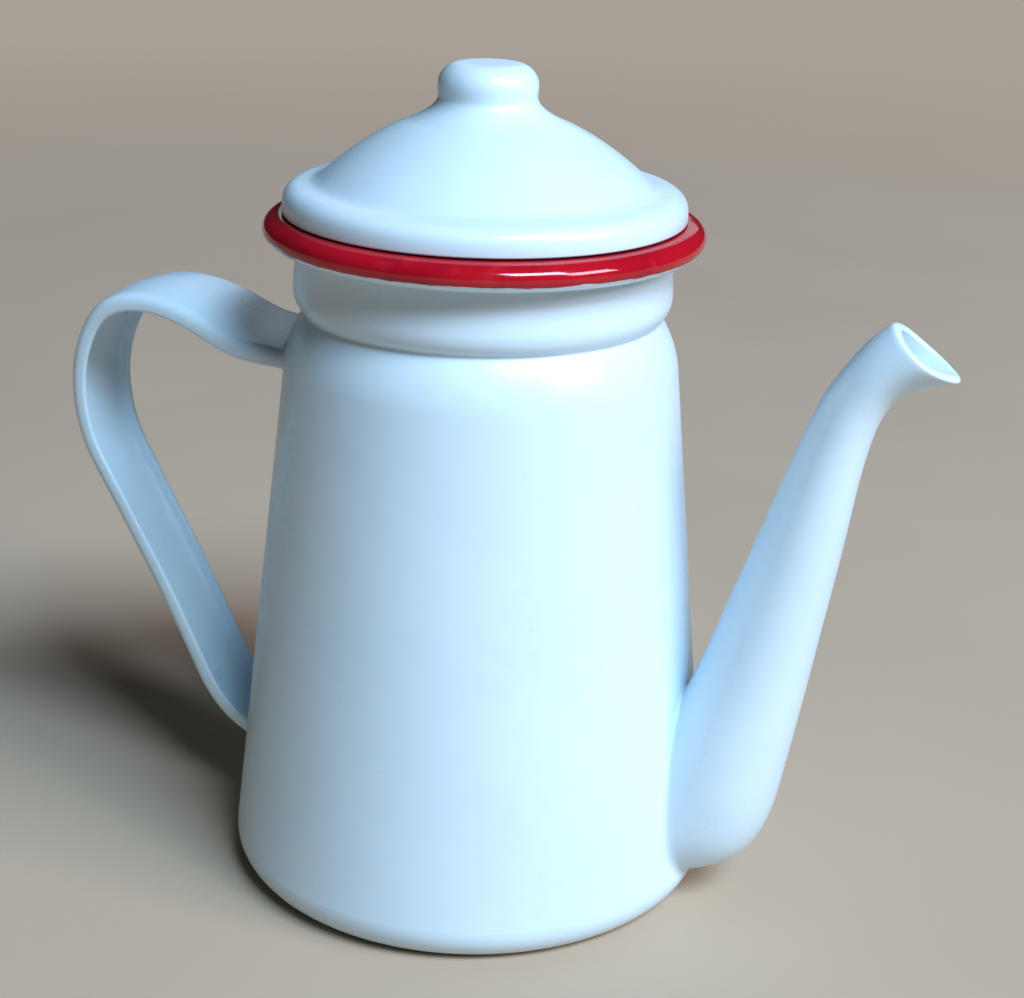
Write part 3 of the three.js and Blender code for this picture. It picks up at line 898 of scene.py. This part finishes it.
class Nodes:
    """The nodes of one material, made and joined in short calls."""

    def __init__(self, name):
        self.material = bpy.data.materials.new(name)
        self.material.use_nodes = True
        self.tree = self.material.node_tree
        self.shader = self.tree.nodes["Principled BSDF"]
        self.place = self.add("ShaderNodeTexCoord", "Object")

    def put(self, socket, value):
        """Sets a socket, or links it to another node's output."""
        if isinstance(value, bpy.types.NodeSocket):
            self.tree.links.new(value, socket)
        elif isinstance(value, tuple) and socket.type == "RGBA":
            socket.default_value = (*value, 1)
        else:
            socket.default_value = value

    def add(self, kind, output, inputs=None, **settings):
        """A new node's output. The inputs are given by the sockets' names or numbers."""
        node = self.tree.nodes.new(kind)
        for setting, value in settings.items():
            setattr(node, setting, value)
        for socket, value in (inputs or {}).items():
            self.put(node.inputs[socket], value)
        return node.outputs[output]

    def math(self, operation, *values):
        return self.add("ShaderNodeMath", 0, dict(enumerate(values)), operation=operation)

    def noise(self, length, detail=PLAIN_NOISE):
        """Cloudy noise round 0.5, whose lumps are about as wide as the length."""
        inputs = {"Vector": self.place, "Scale": 1 / length, "Detail": detail}
        return self.add("ShaderNodeTexNoise", "Fac", inputs)

    def spots(self, length, radius):
        """1 in the middle of scattered spots and 0 outside them. Few cells have theirs on the surface."""
        cells = {"Vector": self.place, "Scale": 1 / length}
        distance = self.add("ShaderNodeTexVoronoi", "Distance", cells)
        return self.slide(distance, radius / length, radius / length / 2)

    def slide(self, value, start, end, low=0.0, high=1.0):
        """A smooth step from low to high while the value goes from start to end."""
        inputs = {"Value": value, "From Min": start, "From Max": end, "To Min": low, "To Max": high}
        return self.add("ShaderNodeMapRange", "Result", inputs, interpolation_type="SMOOTHSTEP")

    def blend(self, share, first, second):
        """A colour between two: the first where the share is 0, the second where it is 1."""
        inputs = dict(zip(COLOUR_MIX_INPUTS, (share, first, second)))
        return self.add("ShaderNodeMix", COLOUR_MIX_RESULT, inputs, data_type="RGBA")

    def bump(self, height, depth, below=None):
        """A bump as high as the depth where the height is 1, on top of another bump."""
        inputs = {"Height": height, "Distance": depth}
        if below is not None:
            inputs["Normal"] = below
        return self.add("ShaderNodeBump", "Normal", inputs)

    def bend(self):
        """How sharply the sheet bends, per millimetre: above 0 on an edge, below 0 in a corner."""
        return self.add("ShaderNodeAttribute", "Fac", attribute_name="bend")

    def height(self):
        return self.add("ShaderNodeSeparateXYZ", "Z", {0: self.place})

    def distance(self, point):
        return self.add("ShaderNodeVectorMath", "Value", {0: self.place, 1: point}, operation="DISTANCE")

    def near(self, point, radius):
        """1 at a point, fading out over the radius."""
        return self.slide(self.distance(point), radius, radius / 2)

    def finished(self, colour, roughness, normal):
        self.put(self.shader.inputs["Base Color"], colour)
        self.put(self.shader.inputs["Roughness"], roughness)
        self.put(self.shader.inputs["Normal"], normal)
        self.put(self.shader.inputs["IOR"], GLASS_IOR)
        return self.material


def enamel_surface(nodes, depth):
    """The slow waves and the fine orange peel of a fired coat."""
    waves = nodes.bump(nodes.noise(WAVE_LENGTH, SMOOTH_NOISE), depth)
    return nodes.bump(nodes.noise(PEEL_LENGTH), PEEL_DEPTH, waves)


def white_coat(nodes):
    """The white enamel's colour: cloudy, thin on sharp edges, with patchy painted shade in corners, and a
    few pinholes.
    """
    cloud = nodes.slide(nodes.noise(CLOUD_LENGTH), *CLOUD_RANGE)
    colour = nodes.blend(cloud, WHITE, WHITE_COOL)
    mottle = nodes.slide(nodes.noise(MOTTLE_LENGTH, RAGGED_NOISE), *MOTTLE_RANGE, 0.0, MOTTLE_SHARE)
    colour = nodes.blend(mottle, colour, WHITE_THICK)
    thin = nodes.slide(nodes.bend(), *THIN_BEND, 0.0, THIN_SHARE)
    colour = nodes.blend(thin, colour, WHITE_THIN)
    # Painted shade: patchy grey laid where the sheet bends into a corner.
    patchy = nodes.slide(nodes.noise(CORNER_SHADE_PATCH_LENGTH, ROUGH_NOISE), *WIDE_RANGE)
    corner = nodes.slide(nodes.bend(), *CORNER_BEND, 0.0, CORNER_SHADE_SHARE)
    colour = nodes.blend(nodes.math("MULTIPLY", corner, patchy), colour, CORNER_SHADE)
    return nodes.blend(nodes.spots(PINHOLE_SPACING, PINHOLE_RADIUS), colour, PINHOLE)


def base_wear(nodes):
    """Where the coat is rubbed through: patches of the standing ring, and the kiln pins' marks."""
    patchy = nodes.slide(nodes.noise(SCUFF_LENGTH, RAGGED_NOISE), *SCUFF_RANGE)
    low = nodes.slide(nodes.height(), SCUFF_HEIGHT, 0.0)
    rubbed = nodes.math("MULTIPLY", patchy, low)
    proud = nodes.slide(nodes.bend(), *SCUFF_BEND)
    worn = nodes.math("MULTIPLY", rubbed, proud)
    for i in range(KILN_PINS):
        angle = 2 * math.pi * i / KILN_PINS
        pin = (KILN_PIN_CIRCLE * math.cos(angle), KILN_PIN_CIRCLE * math.sin(angle), 0)
        worn = nodes.math("MAXIMUM", worn, nodes.near(pin, KILN_PIN_RADIUS))
    return worn


def white_enamel():
    nodes = Nodes("white_enamel")
    worn = base_wear(nodes)
    colour = nodes.blend(worn, white_coat(nodes), IRON)
    gloss = nodes.slide(nodes.noise(GLOSS_LENGTH, ROUGH_NOISE), *WIDE_RANGE, *WHITE_ROUGHNESS)
    roughness = nodes.math("MAXIMUM", gloss, nodes.math("MULTIPLY", worn, WORN_ROUGHNESS))
    return nodes.finished(colour, roughness, enamel_surface(nodes, WHITE_WAVE_DEPTH))


def red_enamel():
    """Crimson laid over the white by hand: its lower edge is uneven, and the white shows below it."""
    nodes = Nodes("red_enamel")
    cloud = nodes.slide(nodes.noise(RED_CLOUD_LENGTH, ROUGH_NOISE), *RED_CLOUD_RANGE)
    red = nodes.blend(cloud, RED, RED_DEEP)
    streaks = nodes.noise(RED_STREAK_LENGTH, ROUGH_NOISE)
    streak = nodes.slide(streaks, *RED_STREAK_RANGE, 0.0, RED_STREAK_SHARE)
    red = nodes.blend(streak, red, RED_THIN)
    edge = nodes.noise(RED_EDGE_LENGTH, ROUGH_NOISE)
    uneven = nodes.math("MULTIPLY_ADD", edge, RED_EDGE_SWING, -RED_EDGE_SWING / 2)
    above = nodes.math("ADD", nodes.height(), uneven)
    laid = nodes.slide(above, RED_END - RED_EDGE_BLUR, RED_END + RED_EDGE_BLUR)
    specks = nodes.math("SUBTRACT", 1.0, nodes.spots(SPECK_SPACING, SPECK_RADIUS))
    laid = nodes.math("MULTIPLY", laid, specks)
    colour = nodes.blend(laid, white_coat(nodes), red)
    roughness = nodes.slide(nodes.noise(GLOSS_LENGTH, ROUGH_NOISE), *WIDE_RANGE, *RED_ROUGHNESS)
    step = nodes.bump(laid, RED_COAT, enamel_surface(nodes, RED_WAVE_DEPTH))
    return nodes.finished(colour, roughness, step)


def paper():
    """The floor: pale, matt paper that turns into the backdrop further out."""
    nodes = Nodes("paper")
    cloud = nodes.slide(nodes.noise(PAPER_CLOUD_LENGTH), *WIDE_RANGE)
    far = nodes.slide(nodes.distance(ORIGIN), *FLOOR_FADE)
    colour = nodes.blend(far, nodes.blend(cloud, PAPER_PALE, PAPER_SHADE), BLACK)
    nodes.put(nodes.shader.inputs["Emission Color"], BACKDROP)
    nodes.put(nodes.shader.inputs["Emission Strength"], far)
    nodes.put(nodes.shader.inputs["Specular IOR Level"], 0.0)
    grain = nodes.noise(PAPER_GRAIN_LENGTH, ROUGH_NOISE)
    roughness = nodes.slide(grain, *WIDE_RANGE, *PAPER_ROUGHNESS)
    return nodes.finished(colour, roughness, nodes.bump(grain, PAPER_GRAIN_DEPTH))


FINISHES = {"white_enamel": white_enamel(), "red_enamel": red_enamel()}
RED_PIECES = ("rim_enamelled",)
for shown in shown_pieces():
    shown.data.materials.clear()
    finish = "red_enamel" if shown.name in RED_PIECES else "white_enamel"
    shown.data.materials.append(FINISHES[finish])


# ---- Stage ----

def floor():
    """The disc of paper that the pot stands on."""
    disc = bmesh.new()
    bmesh.ops.create_circle(disc, cap_ends=True, segments=FLOOR_AROUND, radius=FLOOR_RADIUS)
    mesh = bpy.data.meshes.new("floor")
    disc.to_mesh(mesh)
    disc.free()
    made = bpy.data.objects.new("floor", mesh)
    bpy.context.scene.collection.objects.link(made)
    mesh.materials.append(paper())


def toward(azimuth, elevation):
    """The unit vector from the pot to a place round it. Azimuth 0 is the side that faces -Y."""
    a, e = math.radians(azimuth), math.radians(elevation)
    return Vector((math.sin(a) * math.cos(e), -math.cos(a) * math.cos(e), math.sin(e)))


def softbox(name, azimuth, elevation, distance, size, power, colour):
    light = bpy.data.lights.new(name, "AREA")
    light.shape = "RECTANGLE"
    light.size, light.size_y = size
    light.energy = power
    light.color = colour
    made = bpy.data.objects.new(name, light)
    bpy.context.scene.collection.objects.link(made)
    back = toward(azimuth, elevation)
    made.location = CAMERA_AIM + back * distance
    made.rotation_euler = (-back).to_track_quat("-Z", "Y").to_euler()


def surroundings():
    """A dim room round the pot, with a pale wall where the camera looks past the floor."""
    world = bpy.data.worlds.new("world")
    world.use_nodes = True
    nodes, links = world.node_tree.nodes, world.node_tree.links
    room = nodes["Background"]
    room.inputs["Color"].default_value = (*WORLD_COLOUR, 1)
    room.inputs["Strength"].default_value = WORLD_STRENGTH
    wall = nodes.new("ShaderNodeBackground")
    wall.inputs["Color"].default_value = (*BACKDROP, 1)
    choice = nodes.new("ShaderNodeMixShader")
    links.new(nodes.new("ShaderNodeLightPath").outputs["Is Camera Ray"], choice.inputs[0])
    links.new(room.outputs[0], choice.inputs[1])
    links.new(wall.outputs[0], choice.inputs[2])
    links.new(choice.outputs[0], nodes["World Output"].inputs["Surface"])
    bpy.context.scene.world = world


def camera():
    data = bpy.data.cameras.new("camera")
    data.lens = CAMERA_LENS
    data.sensor_width = CAMERA_SENSOR
    data.clip_start, data.clip_end = CAMERA_CLIP
    made = bpy.data.objects.new("camera", data)
    bpy.context.scene.collection.objects.link(made)
    back = toward(CAMERA_AZIMUTH, CAMERA_ELEVATION)
    made.location = CAMERA_AIM + back * CAMERA_DISTANCE
    matrix = (-back).to_track_quat("-Z", "Y").to_matrix()
    for degrees, axis in ((CAMERA_YAW, "Y"), (CAMERA_PITCH, "X"), (CAMERA_ROLL, "Z")):
        matrix = matrix @ Matrix.Rotation(math.radians(degrees), 3, axis)
    made.rotation_euler = matrix.to_euler()
    bpy.context.scene.camera = made


floor()
for light in SOFTBOXES:
    softbox(*light)
surroundings()
camera()
bpy.context.scene.view_settings.view_transform = "Standard"
